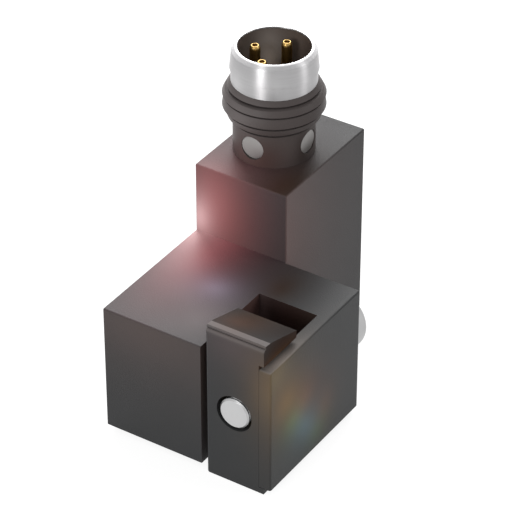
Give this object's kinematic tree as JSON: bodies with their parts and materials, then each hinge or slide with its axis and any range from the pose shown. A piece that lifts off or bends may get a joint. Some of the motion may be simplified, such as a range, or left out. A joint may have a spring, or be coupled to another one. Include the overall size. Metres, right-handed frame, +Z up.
{
  "type": "magnetic field sensor",
  "caption": "Clamp-on magnetic field sensor: dark L-shaped housing with a screw-driven clamp jaw at the front and a round snap-in plug connector on its tower.",
  "frame": {"origin": "middle of the plan of the whole sensor, level with the underside of the jaw's foot, which hangs just below the base", "axes": "+X to the right along the front face, towards the clamp jaw; +Y from the jaw's front face to the tower's back; +Z up along the connector's axis"},
  "size_m": [0.0179, 0.028, 0.0311],
  "materials": {
    "housing_plastic": "fine spark-eroded texture",
    "connector_plastic": "satin",
    "sleeve_metal": "turned, nickel-plated",
    "contact_gold": "gold-plated",
    "carrier_plastic": "satin",
    "lens": "frosted, translucent",
    "screw_steel": "satin",
    "insert_brass": "machined",
    "seal_rubber": "matte",
    "board_laminate": "satin",
    "chip_plastic": "matte",
    "ceramic": "matte",
    "led_resin": "gloss",
    "solder_tin": "bright",
    "wire_sheath": "satin",
    "potting_resin": "satin"
  },
  "bodies": {
    "housing": {"housing": "housing_plastic", "base_cover": "housing_plastic", "connector_body": "connector_plastic", "connector_sleeve": "sleeve_metal", "contact_carrier": "carrier_plastic", "contact_pin_1": "contact_gold", "contact_pin_3": "contact_gold", "contact_pin_4": "contact_gold", "light_ring": "lens", "neck_seal": "seal_rubber", "led_board": "board_laminate", "status_leds": "led_resin", "sensor_board": "board_laminate", "main_board": "board_laminate", "link_wires": "wire_sheath", "solder_joints": "solder_tin", "field_sensor_chip": "chip_plastic", "signal_chip": "chip_plastic", "output_transistor": "chip_plastic", "protection_diode": "chip_plastic", "capacitors": "ceramic", "resistors": "chip_plastic", "potting": "potting_resin"},
    "screw": {"clamp_screw": "screw_steel", "retaining_ring": "screw_steel"},
    "jaw": {"clamp_jaw": "housing_plastic", "thread_insert": "insert_brass"}
  },
  "joints": [
    {"name": "screw_turn", "type": "hinge", "parent": "housing", "child": "screw", "pos_m": [0.005, -0.0044, 0.00765], "axis": [0, 1, 0], "range_deg": [0, 1080]},
    {"name": "jaw_slide", "type": "slide", "parent": "housing", "child": "jaw", "axis": [0, -1, 0], "range_m": [0, 0.0015]}
  ],
  "couplings": [
    {"joint": "screw_turn", "follows": "jaw_slide", "rad_per_m": 12566}
  ]
}
